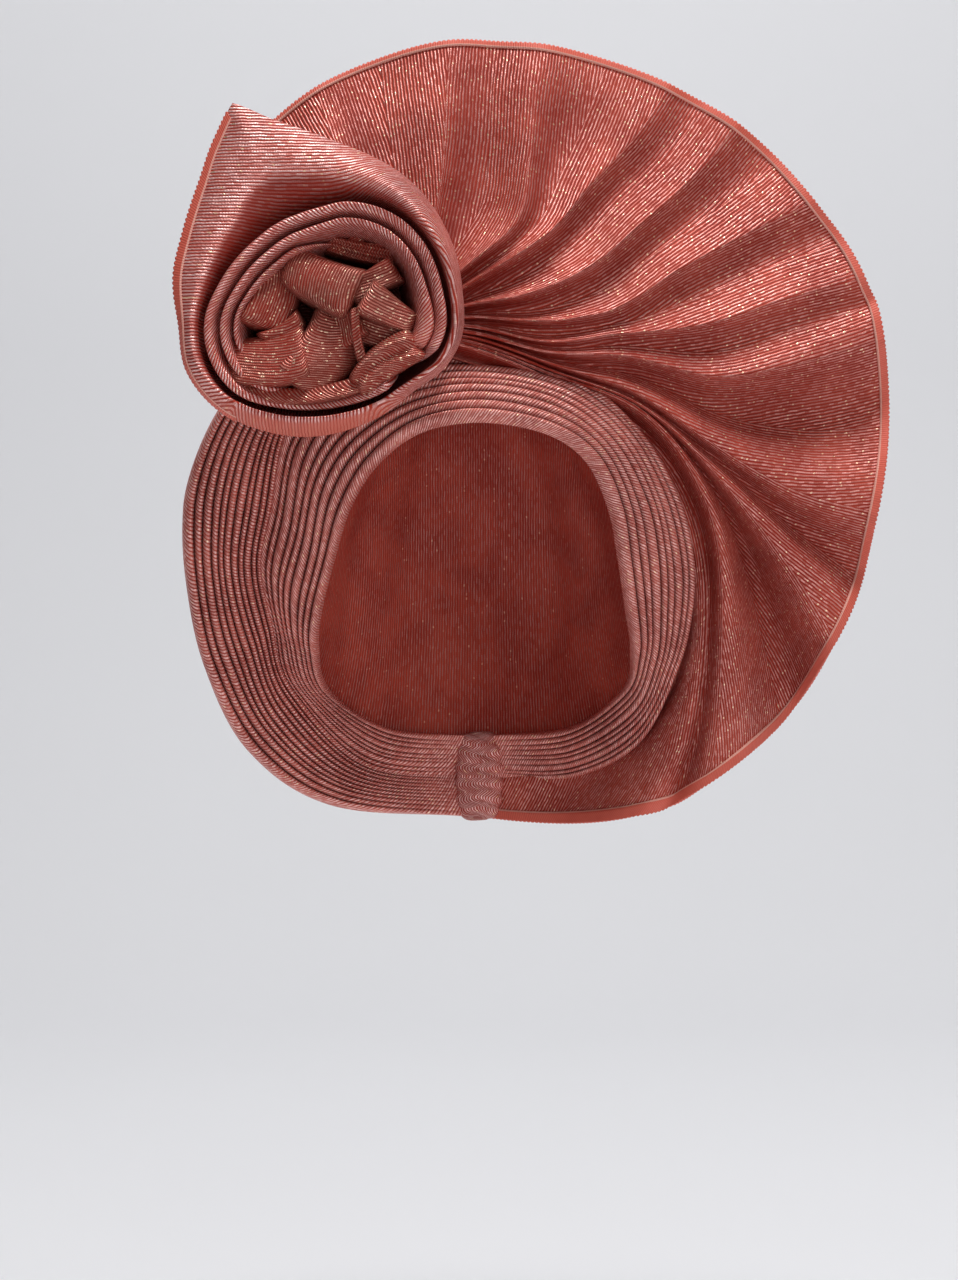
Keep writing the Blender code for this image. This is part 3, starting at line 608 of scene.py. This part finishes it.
def fanSurface(look, fold, t):
    # Points of the fan at a fold number (whole at a ridge) and a way out, t from 0 at the knot to 1.
    # Between two ridges the cloth goes back by depth * (1 - |2q - 1| ^ flat), q = p ^ lean, p being the part
    # of the fold; towards the rim that turns to the rounder sin(pi * q) ^ 2, and for the last folds, which
    # hang low, to sin(pi * q) ^ 3. It swells as it goes back.
    ridges = fanRidges(look, t)
    count = len(fanRows)
    whole = np.clip(np.floor(fold + 1e-6).astype(int), 0, count - 1)
    part = np.clip(fold - whole, 0, 1)[:, None]
    straight = along(ridges[whole], ridges[whole + 1], part[..., None])
    bent = curve(np.arange(count + 1), ridges, fold)
    bearing, radius, back = np.moveaxis(along(straight, bent, 0.25 + 0.75 * t ** 2), 1, 0)
    width = np.radians(ridges[whole + 1, 0] - ridges[whole, 0]) * radius
    lean = along(1.0, fanRows[whole, 11][:, None], np.minimum(t * 2.5, 1) * (1 - 0.35 * t))
    deep = fanRows[whole, 10][:, None] * width * along(1.0, look["rimDepth"], t)
    narrow = np.minimum(look["slit"], 1.6 * width) * np.exp(-t / look["slitFade"])
    q = part ** lean
    low = np.clip((fold - look["lowFrom"]) / 2, 0, 1)[:, None]
    rounder = np.maximum(t ** 1.5, low)
    fall = along(1 - np.abs(2 * q - 1) ** look["flat"], np.sin(np.pi * q) ** (2 + low), rounder)
    loose = np.minimum(t * 3, 1)
    crumple = ripple(fold[:, None] * 2.3, t * 9, 21) + 0.6 * ripple(fold[:, None] * 6, t * 22, 33)
    back = back + (deep + narrow) * fall + crumple * look["crumple"] * loose
    uneven = ripple(fold * 5, 0.0, 45)[:, None] * look["rim"] * t
    radius = radius + radius * deep * fall * look["swell"] + uneven
    turn = np.radians(bearing)
    x = look["hub"][0] + radius * np.sin(turn)
    return np.stack([x, back, look["hub"][1] + radius * np.cos(turn)], axis=-1)


def foldWeave(points, gore):
    # Place on the cloth for each corner of each face: distance from the gore's own first line, and distance
    # out. A gore is half a fold, gore columns of faces wide.
    across, out = runLength(points, 0), runLength(points, 1)
    ridge = across[:-1:gore]
    column = np.repeat(np.arange(len(ridge)), gore)

    def corner(rows, columns):
        side = across[rows, columns] - ridge[column][:, columns]
        return np.stack([side, out[rows, columns]], axis=-1)

    near, far, start, end = slice(0, -1), slice(1, None), slice(0, -1), slice(1, None)
    return np.stack([corner(near, start), corner(near, end), corner(far, end), corner(far, start)], axis=2)


def buildFan(look, selvedge):
    # The fan, with painted shade below each ridge, exp(-((part - at) / wide) ^ 2), and in the slits by the
    # knot. Its last line is turned back towards the band beside the knot, by hem * exp(-(t / hemReach) ^ 2),
    # and that hem is in painted shade.
    fold = np.arange(len(fanRows) * look["part"] + 1) / look["part"]
    t = np.linspace(0, 1, look["rows"]) ** 0.9
    points = fanSurface(look, fold, t)
    part = (fold % 1)[:, None]
    low = np.clip((fold[:, None] - look["lowFrom"]) / 3, 0, 1)
    at, wide, fade, most = (look[key][0] + look[key][1] * low
                            for key in ("paintedShadeAt", "paintedShadeWide", "paintedShadeFade", "paintedShadeMost"))
    below = np.exp(-((part - at) / wide) ** 2) * (1 - t) ** fade
    slit = np.sin(np.pi * part ** 0.6) ** 3 * np.exp(-(t / look["slitReach"]) ** 2)
    paintedShade = np.clip(most * below + look["slitPaintedShade"] * slit, 0, 1)
    gore = look["part"] // 2
    turned = np.arange(1, gore + 1)[:, None] / gore * look["hem"] * np.exp(-(t / look["hemReach"]) ** 2)
    points = np.concatenate([points, points[-1] + turned[..., None] * np.array([0.0, 1.0, 0.0])])
    paintedShade = np.concatenate([paintedShade, np.full(turned.shape, look["hemPaintedShade"])])
    item = clothMesh("fanSheet", points, foldWeave(points, gore), paintedShade=paintedShade)
    dress(item, fanCloth, ["fan"], look["wall"], 1.0)


# lines are the band's own, as shares of its width. petal is where the petal's edge starts and ends, in
# degrees, and how many points it has.
selvedgeSize = {"band": 0.0043, "lines": (1.0, 0.66, 0.33, 0.0), "tooth": 0.0023, "reach": 0.0009,
                "wall": 0.0018, "fine": 120, "petal": (222, 334, 900)}


def toothed(size, run):
    # How far the outer line reaches out: a tooth's reach times a little more than |sin| of the way along.
    return (size["reach"] * (0.15 + np.abs(np.sin(np.pi * run / size["tooth"]))))[:, None]


def buildFanSelvedge(look, size):
    # A band along the fan's rim, with a toothed outer line.
    fold = np.arange(len(fanRows) * size["fine"] + 1) / size["fine"]
    ways = 1 - np.array(size["lines"]) * size["band"] / look["reach"]
    points = fanSurface(look, fold, ways)
    run = runLength(points[:, -1:], 0)[:, 0]
    tip = points[:, -1] + unit(points[:, -1] - points[:, -2]) * toothed(size, run)
    points = np.concatenate([points, tip[:, None]], axis=1)
    weave = np.stack([np.broadcast_to(run[:, None], points.shape[:2]), runLength(points, 1)], axis=-1)
    item = clothMesh("fanSelvedge", points, weave)
    return dress(item, edgeCloth, (), size["wall"])


buildFan(fanLook, buildFanSelvedge(fanLook, selvedgeSize))
print("fan ready")


# The two knots

def buildBundle(name, node, look):
    # A tied bundle over a node's box: a round body, squarer as the power grows, with wraps round it as
    # |cos| ^ 0.6.
    low, high = (np.array(corner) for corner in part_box(node))
    down = np.linspace(0, np.pi, look["down"])[:, None]
    around = np.linspace(0, 2 * np.pi, look["around"])
    x, y = np.sin(down) * np.cos(around), np.sin(down) * np.sin(around)
    way = np.stack(np.broadcast_arrays(x, y, np.cos(down)), axis=-1)
    size = (np.abs(way) ** look["power"]).sum(axis=-1) ** (1 / look["power"])
    body = way / size[..., None]
    slanted = body[..., 2] * np.cos(look["tilt"]) + body[..., 0] * np.sin(look["tilt"])
    wraps = np.abs(np.cos(look["wraps"] * slanted)) ** 0.6
    hold = np.sin(down) ** 0.5
    points = (low + high) / 2 + body * ((high - low) / 2 + look["groove"] * (wraps * hold)[..., None])
    weave = np.stack([runLength(points, 1), runLength(points, 0)], axis=-1)
    item = clothMesh(name, points, weave, merge=True)
    dress(item, roseClothPaintedLight, [node])


bundleLook = {"down": 60, "around": 90, "power": 3.5, "wraps": 7.0, "tilt": 0.5, "groove": 0.0016}

buildBundle("knotWrap", "knot", bundleLook)
buildBundle("napeWrap", "nape_knot", dict(bundleLook, wraps=9.0, tilt=0.2))
print("knots ready")


# The rosette

roseLook = {
    "middle": (-0.0705, 0.1305), "floor": -0.0683,
    "petalReach": 0.107, "petalDepth": 0.040, "turnReach": 0.060, "turnDepth": 0.036,
    "taper": 0.20, "beside": 0.0030, "sag": 0.0014,
    "ribStart": 0.078, "ribRight": (85, 55),        # bearing where the ribs turn down, and how wide
    "bareLow": (185, 48), "bareFrom": (0.70, 0.06),     # where the lip shows its plain coral side
    # painted shade in the petal's bowl: where it ends, how soft its end is, and the most of it
    "paintedShadeTo": (0.60, 0.07), "paintedShadeMost": 0.82,
    "around": 300, "out": 90, "wall": 0.0011,
}

# bearing, middle line of the outer turn, crest and free edge of the petal, how far forward both lie
roseRows = np.array([
    (10, 0.83, 0.62, 0.73, 0.96, 0.62),
    (35, 0.88, 0.60, 0.68, 0.98, 0.55),
    (55, 0.89, 0.58, 0.635, 0.98, 0.50),
    (78, 0.88, 0.565, 0.595, 0.96, 0.48),
    (98, 0.89, 0.565, 0.585, 0.92, 0.46),
    (113, 0.84, 0.535, 0.550, 0.86, 0.45),
    (129, 0.75, 0.470, 0.490, 0.80, 0.42),
    (148, 0.72, 0.435, 0.480, 0.76, 0.40),
    (168, 0.71, 0.420, 0.490, 0.76, 0.44),
    (188, 0.74, 0.425, 0.520, 0.78, 0.46),
    (208, 0.81, 0.470, 0.560, 0.78, 0.50),
    (228, 0.91, 0.560, 0.615, 0.84, 0.60),
    (248, 0.93, 0.600, 0.645, 0.92, 0.76),
    (266, 0.90, 0.585, 0.630, 0.96, 0.84),
    (284, 0.82, 0.570, 0.670, 0.96, 0.86),
    (300, 0.77, 0.580, 0.705, 0.94, 0.84),
    (316, 0.74, 0.620, 0.785, 0.92, 0.80),
    (328, 0.74, 0.700, 0.900, 0.90, 0.76),
    (334, 0.743, 0.730, 0.972, 0.90, 0.745),
    (336, 0.745, 0.740, 1.000, 0.90, 0.74),
    (338, 0.746, 0.730, 0.968, 0.90, 0.735),
    (345, 0.75, 0.700, 0.870, 0.92, 0.72),
    (358, 0.78, 0.650, 0.775, 0.94, 0.68),
])


def roseAt(bearing):
    # The five shares of roseRows at any bearing.
    return np.moveaxis(curve(roseRows[:, 0], roseRows[:, 1:], bearing, wrap=360), -1, 0)


def narrowing(look, y):
    # The rosette is narrower at its floor than at its front.
    return 1 - look["taper"] * (1 - (look["floor"] - y) / look["turnDepth"])


def rosePoint(look, bearing, radius, y):
    # Place of a bearing, a radius from the rosette's middle and a depth.
    turn = np.radians(bearing)
    x, z = look["middle"]
    return np.stack(np.broadcast_arrays(x + radius * np.sin(turn), y, z + radius * np.cos(turn)), axis=-1)


def petalSurface(look, bearing, v):
    # Points of the petal: floor, foot, wall, crest and turned-out edge, on a cubic through its rings.
    line, crest, edge, crestOut, edgeOut = roseAt(bearing)
    floor = look["floor"] + 0.001
    wall = look["turnReach"] * line + look["beside"]
    crest, edge = crest * look["petalReach"], edge * look["petalReach"]
    crestY, edgeY = floor - look["petalDepth"] * crestOut, floor - look["petalDepth"] * edgeOut
    foot = wall * narrowing(look, floor)
    crest = np.maximum(crest, wall + 0.0015)
    edge = np.maximum(edge, crest + 0.001)
    rings = [(0 * wall, 0 * wall + floor), (0.5 * foot, 0 * wall + floor), (0.93 * foot, 0 * wall + floor),
             (along(foot, wall, 0.55), along(floor, crestY, 0.30)),
             (along(wall, crest, 0.18), along(floor, crestY, 0.68)),
             (along(wall, crest, 0.50), along(floor, crestY, 0.95)),
             (along(wall, crest, 0.88), crestY),
             (along(crest, edge, 0.25), along(crestY, edgeY, 0.14)),
             (along(crest, edge, 0.62), along(crestY, edgeY, 0.45)), (edge, edgeY)]
    keys = (0, 0.06, 0.14, 0.26, 0.38, 0.52, 0.66, 0.76, 0.88, 1.0)
    profile = curve(keys, np.array(rings), v)
    radius, y = profile[:, 0], profile[:, 1]
    turn = np.radians(bearing)
    v = v[:, None]
    sag = ripple(np.cos(turn) * 3, np.sin(turn) * 3 + v * 5, 8) * look["sag"] * np.clip(v * 3 - 1, 0, 1)
    return rosePoint(look, bearing, radius, y + sag)


def petalWeave(look, bearing, points):
    # The ribs run level on the left of the rosette, turn down round its right side and stand upright below:
    # the larger of x and z plus a length, blended into the distance out from the floor on the right.
    x, z = points[..., 0] - look["middle"][0], points[..., 2] - look["middle"][1]
    out = runLength(points, 0)
    middle, wide = look["ribRight"]
    right = np.exp(-(((bearing - middle + 180) % 360 - 180) / wide) ** 4)
    across = right * out + (1 - right) * (np.maximum(x, z) + look["ribStart"])
    lengthways = np.broadcast_to(np.radians(bearing) * look["turnReach"], across.shape)
    return np.stack([across, lengthways], axis=-1)


def buildPetal(look, selvedge):
    # The lip is plain coral low down, exp(-((bearing - middle) / wide) ^ 4), and the bowl is in painted
    # shade.
    bearing = np.linspace(0, 360, look["around"] + 1)[::-1]
    v = np.linspace(0, 1, look["out"])
    points = petalSurface(look, bearing, v)
    middle, wide = look["bareLow"]
    low, v = np.exp(-((bearing - middle) / wide) ** 4), v[:, None]
    bare = low * np.clip((v - look["bareFrom"][0]) / look["bareFrom"][1], 0, 1)
    paintedShade = np.clip((look["paintedShadeTo"][0] - v) / look["paintedShadeTo"][1], 0, look["paintedShadeMost"])
    item = clothMesh("rosePetal", points, petalWeave(look, bearing, points), bare, paintedShade, merge=True)
    dress(item, roseClothPaintedLight, ["rose_petal"], look["wall"])


def buildPetalSelvedge(look, size):
    # The petal's free coral edge, from low on the left up to the tip, with a toothed outer line.
    bearing = np.linspace(*size["petal"])
    inner, edge = petalSurface(look, bearing, np.array([0.93, 1.0]))
    inward = unit(inner - edge)
    points = edge + inward * np.array(size["lines"])[:, None, None] * size["band"]
    run = runLength(edge[None], 1)[0]
    points = np.concatenate([points, (edge - inward * toothed(size, run))[None]])
    weave = np.stack([np.broadcast_to(run, points.shape[:2]), runLength(points, 0)], axis=-1)
    item = clothMesh("petalSelvedge", points, weave)
    return dress(item, edgeCloth, (), size["wall"])


# name, start and end bearing, inset, thickness, share of the depth it stands forward, share left standing
# forward at the bottom of the rosette, how much wider it is where it starts, share of its run that tapers
turnRows = (
    ("turnOuter", 120, -232, -0.0006, 0.0056, 1.00, 0.70, 0.1, 0.035, "rose_turn_outer"),
    ("turnInner", 118, -160, 0.0062, 0.0046, 0.97, 0.70, 1.1, 0.035, "rose_turn_inner"),
    ("turnThird", 6, -138, 0.0114, 0.0034, 0.90, 0.70, 0.0, 0.22, None),
)
turnLook = {"steps": 260, "girth": 28, "wander": 0.0006, "bottom": (180, 42), "flareAt": (0.06, 0.09),
            "slant": 0.7, "bare": 0.8, "bareReach": 0.07, "paintedShadeMost": 0.9}


def buildTurn(look, turn, row):
    # A rolled turn: an upright section, (|cos| ^ 4 + |sin| ^ 4) ^ -1/4, carried round the rosette. It closes
    # at both ends, stands lower at the bottom, and is wider where it starts by flare.
    name, start, end, inset, thick, forward, low, flare, taper, node = row
    bearing = np.linspace(start, end, turn["steps"])
    step = np.linspace(0, 1, turn["steps"])
    middle = look["turnReach"] * roseAt(bearing)[0] - inset
    middle = middle + ripple(np.radians(bearing) * 3, 0.0, len(name) * 3) * turn["wander"]
    angle = np.linspace(0, 2 * np.pi, turn["girth"] + 1)[:, None]
    wide, deep = np.cos(angle), np.sin(angle)
    bulge = (np.abs(wide) ** 4 + np.abs(deep) ** 4) ** -0.25
    close = np.clip(np.minimum(step, 1 - step) / taper, 0, 1) ** 0.5
    bottom = np.exp(-((bearing % 360 - turn["bottom"][0]) / turn["bottom"][1]) ** 2)
    depth = look["turnDepth"] * forward * along(1.0, low, bottom)
    y = look["floor"] - 0.0004 - depth * (1 + deep * bulge * close) / 2
    wider = 1 + flare * np.exp(-((step - turn["flareAt"][0]) / turn["flareAt"][1]) ** 2)
    radius = (middle + wide * bulge * close * thick * wider / 2) * narrowing(look, y)
    points = rosePoint(look, bearing, radius, y)
    run = runLength(points[turn["girth"] // 2][None], 1)
    girth = runLength(points, 0)
    weave = np.stack([run + turn["slant"] * girth, girth], axis=-1)
    bare = turn["bare"] * np.exp(-(step / turn["bareReach"]) ** 2) * min(flare, 1)
    # Painted shade, deepest towards the rosette's floor.
    paintedShade = np.clip(0.95 - 1.1 * (look["floor"] - y) / depth, 0, turn["paintedShadeMost"])
    item = clothMesh(name, points, weave, bare, paintedShade, merge=True)
    dress(item, roseClothPaintedLight, [node] if node else ())
    deepest = float(depth.mean() + thick)


# The folds in the middle: place and size in mm, the turn of the length from level, bend and taper as shares
# of the width, how far forward, tilts to its side and its end, creases along it, slant of the ribs and the
# CAD node it stands for
heartColumns = ("across", "up", "length", "width", "turn", "bend", "taper", "front", "tilt", "nod", "creases",
                "ribs", "node")
heartRows = (
    (-25.0, 9.0, 30, 19, 72, 0.12, -0.18, 0.80, 0.25, -0.15, 1.6, 0.2, 1),
    (-2.5, 16.5, 33, 21, -26, 0.08, 0.16, 0.95, -0.22, 0.20, 1.0, 1.2, 2),
    (15.0, 31.0, 30, 9, -10, 0.12, 0.10, 0.62, 0.10, 0.10, 3.2, 1.5, 3),
    (21.5, 15.0, 23, 11, 34, -0.12, 0.12, 0.86, 0.30, -0.15, 1.2, 0.3, 4),
    (29.0, 2.0, 25, 14, -28, 0.05, -0.30, 0.95, -0.30, -0.20, 0.8, 0.2, 5),
    (6.5, -2.5, 24, 14, -58, 0.08, 0.15, 0.84, 0.25, 0.10, 1.5, 0.3, 6),
    (-27.5, -20.0, 35, 23, 10, 0.12, 0.14, 0.92, -0.35, 0.15, 0.9, 0.0, 7),
    (-3.0, -19.0, 34, 25, 50, 0.10, 0.16, 0.88, 0.30, -0.15, 1.3, 1.2, 8),
    (-11.0, -35.0, 54, 8, 5, 0.50, 0.00, 0.84, 0.00, 0.00, 0.6, 0.8, 9),
    (28.0, -23.5, 33, 16, 36, -0.20, 0.15, 0.94, 0.20, 0.10, 2.4, 0.9, 10),
    (24.0, -9.0, 22, 12, -12, 0.00, 0.00, 0.80, 0.25, 0.10, 1.2, 0.1, 10),
    (14.5, -9.5, 24, 4.5, -82, 0.20, 0.00, 0.96, 0.00, 0.00, 0.5, 1.3, 6),
    (-21.0, -7.0, 20, 8, 28, 0.30, 0.10, 0.86, -0.20, 0.10, 1.0, 0.2, 7),
    (12.0, 36.0, 13, 8, 60, 0.20, 0.30, 0.55, 0.20, 0.10, 1.0, 0.2, 3),
    (25.0, -31.0, 34, 11, 30, -0.30, 0.10, 0.66, 0.10, 0.00, 3.0, 0.9, 10),
    (37.0, -15.5, 24, 13, 62, -0.10, 0.10, 0.74, 0.20, 0.10, 1.6, 0.4, 5),
)
heartLook = {"floor": 0.48, "cross": 40, "lengthways": 50, "edge": 9, "end": 12, "crease": 0.0008,
             "lump": 0.0012, "wander": 0.10, "wall": 0.0009, "grow": 1.16}


def plunge(share, power):
    # (1 - |share| ^ power) ^ 0.5, and 0 past the side.
    return np.sqrt(np.clip(1 - np.abs(share) ** power, 0, 1))


def buildHeartFold(look, rose, number, row):
    # A fold over the middle, whose top is full until near its sides and ends, where it plunges to its floor.
    # What would reach past the outer turn's middle line is pressed back to it.
    get = dict(zip(heartColumns, row))
    a, b = np.linspace(-1, 1, look["lengthways"])[:, None], np.linspace(-1, 1, look["cross"])
    a, b = np.sin(a * np.pi / 2), np.sin(b * np.pi / 2)
    long, wide = get["length"] * look["grow"] / 2000, get["width"] * look["grow"] / 2000
    full = plunge(b, look["edge"]) * plunge(a, look["end"])
    crease = np.sin(get["creases"] * np.pi * (b + 0.25 * a) + number) * full
    beside = b * wide * (1 + get["taper"] * a) + 2 * wide * get["bend"] * (a ** 2 - 0.5)
    beside = beside + ripple(a * 3, b * 0, 60 + number) * wide * look["wander"]
    height = rose["turnDepth"] * get["front"]
    y = rose["floor"] - height * along(look["floor"], 1.0, full) - look["crease"] * crease
    y = y - (get["tilt"] * b * wide + get["nod"] * a * long) * full
    y = y + ripple(a * 2, b * 2, 30 + number) * look["lump"] * full
    slant = np.radians(get["turn"])
    x = get["across"] / 1000 + a * long * np.cos(slant) - beside * np.sin(slant)
    z = get["up"] / 1000 + a * long * np.sin(slant) + beside * np.cos(slant)
    radius = np.hypot(x, z)
    room = rose["turnReach"] * roseAt(np.degrees(np.arctan2(x, z)))[0] * narrowing(rose, y)
    press = np.minimum(1, room / np.maximum(radius, 1e-6))
    points = np.stack([rose["middle"][0] + x * press, y, rose["middle"][1] + z * press], axis=-1)
    lengthways, girth = runLength(points, 0), runLength(points, 1)
    turned = get["ribs"]
    weave = np.stack([lengthways * np.sin(turned) + girth * np.cos(turned),
                      lengthways * np.cos(turned) - girth * np.sin(turned)], axis=-1)
    # Painted shade where the fold plunges to its floor, at its sides and ends.
    item = clothMesh("heartFold%d" % number, points, weave, paintedShade=np.clip(1.1 - full * 1.25, 0, 1))
    node = "rose_fold_%d" % get["node"]
    dress(item, heartCloth, [node] if number == get["node"] else (), look["wall"], 1.0)


buildPetal(roseLook, buildPetalSelvedge(roseLook, selvedgeSize))
for turnRow in turnRows:
    buildTurn(roseLook, turnLook, turnRow)
for number, heartRow in enumerate(heartRows, start=1):
    buildHeartFold(heartLook, roseLook, number, heartRow)
print("rosette ready")


# Studio

studio = {"floor": -0.42, "wall": 2.20, "bend": 0.80, "half": 4.0, "near": -4.0, "high": 4.0,
          "colour": (0.84, 0.84, 0.86), "air": (0.86, 0.88, 0.92, 1), "airStrength": 0.16,
          "lens": 73.125, "camera": (0.0, -1.3, -0.02)}

# name, place, what it points at, size and watts
lights = (
    ("overhead", (0.35, -0.75, 2.60), (0.03, 0.0, 0.08), (1.2, 0.8), 62.0),
    ("front", (0.5, -2.0, 0.5), (0.0, 0.0, 0.0), (1.6, 1.6), 3.0),
    ("fill", (1.6, -1.3, -0.05), (0.08, 0.0, 0.0), (0.9, 0.9), 5.4),
    ("wallWash", (0.0, 0.7, 2.3), (0.0, 2.2, -0.1), (3.0, 0.8), 17.0),
)


def buildStudio(look):
    # Pale floor that bends up into a wall behind the object.
    turn = np.linspace(0, np.pi / 2, 24)
    bent = look["wall"] - look["bend"] * (1 - np.sin(turn))
    y = np.concatenate([[look["near"]], bent, [look["wall"]]])
    z = np.concatenate([[0], look["bend"] * (1 - np.cos(turn)), [look["high"]]]) + look["floor"]
    x = np.array([-look["half"], look["half"]])
    points = np.stack(np.broadcast_arrays(x, y[:, None], z[:, None]), axis=-1)
    sweep = clothMesh("studioSweep", points, points[..., :2])
    sweep.data.materials.append(studioFinish("studioPale", look["colour"]))


def addLight(name, place, aim, size, power):
    # A soft lamp, turned about X and Z so that it looks at what it points at.
    light = bpy.data.lights.new(name, "AREA")
    light.shape, light.size, light.size_y, light.energy = "RECTANGLE", size[0], size[1], power
    item = bpy.data.objects.new(name, light)
    scene.collection.objects.link(item)
    item.location = place
    x, y, z = np.array(aim) - np.array(place)
    item.rotation_euler = (np.arctan2(np.hypot(x, y), -z), 0.0, np.arctan2(-x, y))


def addCamera(lens, place):
    # Level, and square to the front.
    camera = bpy.data.cameras.new("photoCamera")
    camera.lens, camera.sensor_width = lens, 36.0
    item = bpy.data.objects.new("photoCamera", camera)
    scene.collection.objects.link(item)
    item.location, item.rotation_euler = place, (np.pi / 2, 0.0, 0.0)
    scene.camera = item


def addAir(look):
    # Even, faint light from all round.
    world = bpy.data.worlds.new("studioAir")
    world.use_nodes = True
    background = world.node_tree.nodes["Background"]
    background.inputs["Color"].default_value = look["air"]
    background.inputs["Strength"].default_value = look["airStrength"]
    scene.world = world


buildStudio(studio)
for light in lights:
    addLight(*light)
addAir(studio)
scene.view_settings.view_transform = "Standard"
addCamera(studio["lens"], studio["camera"])
print("studio ready")
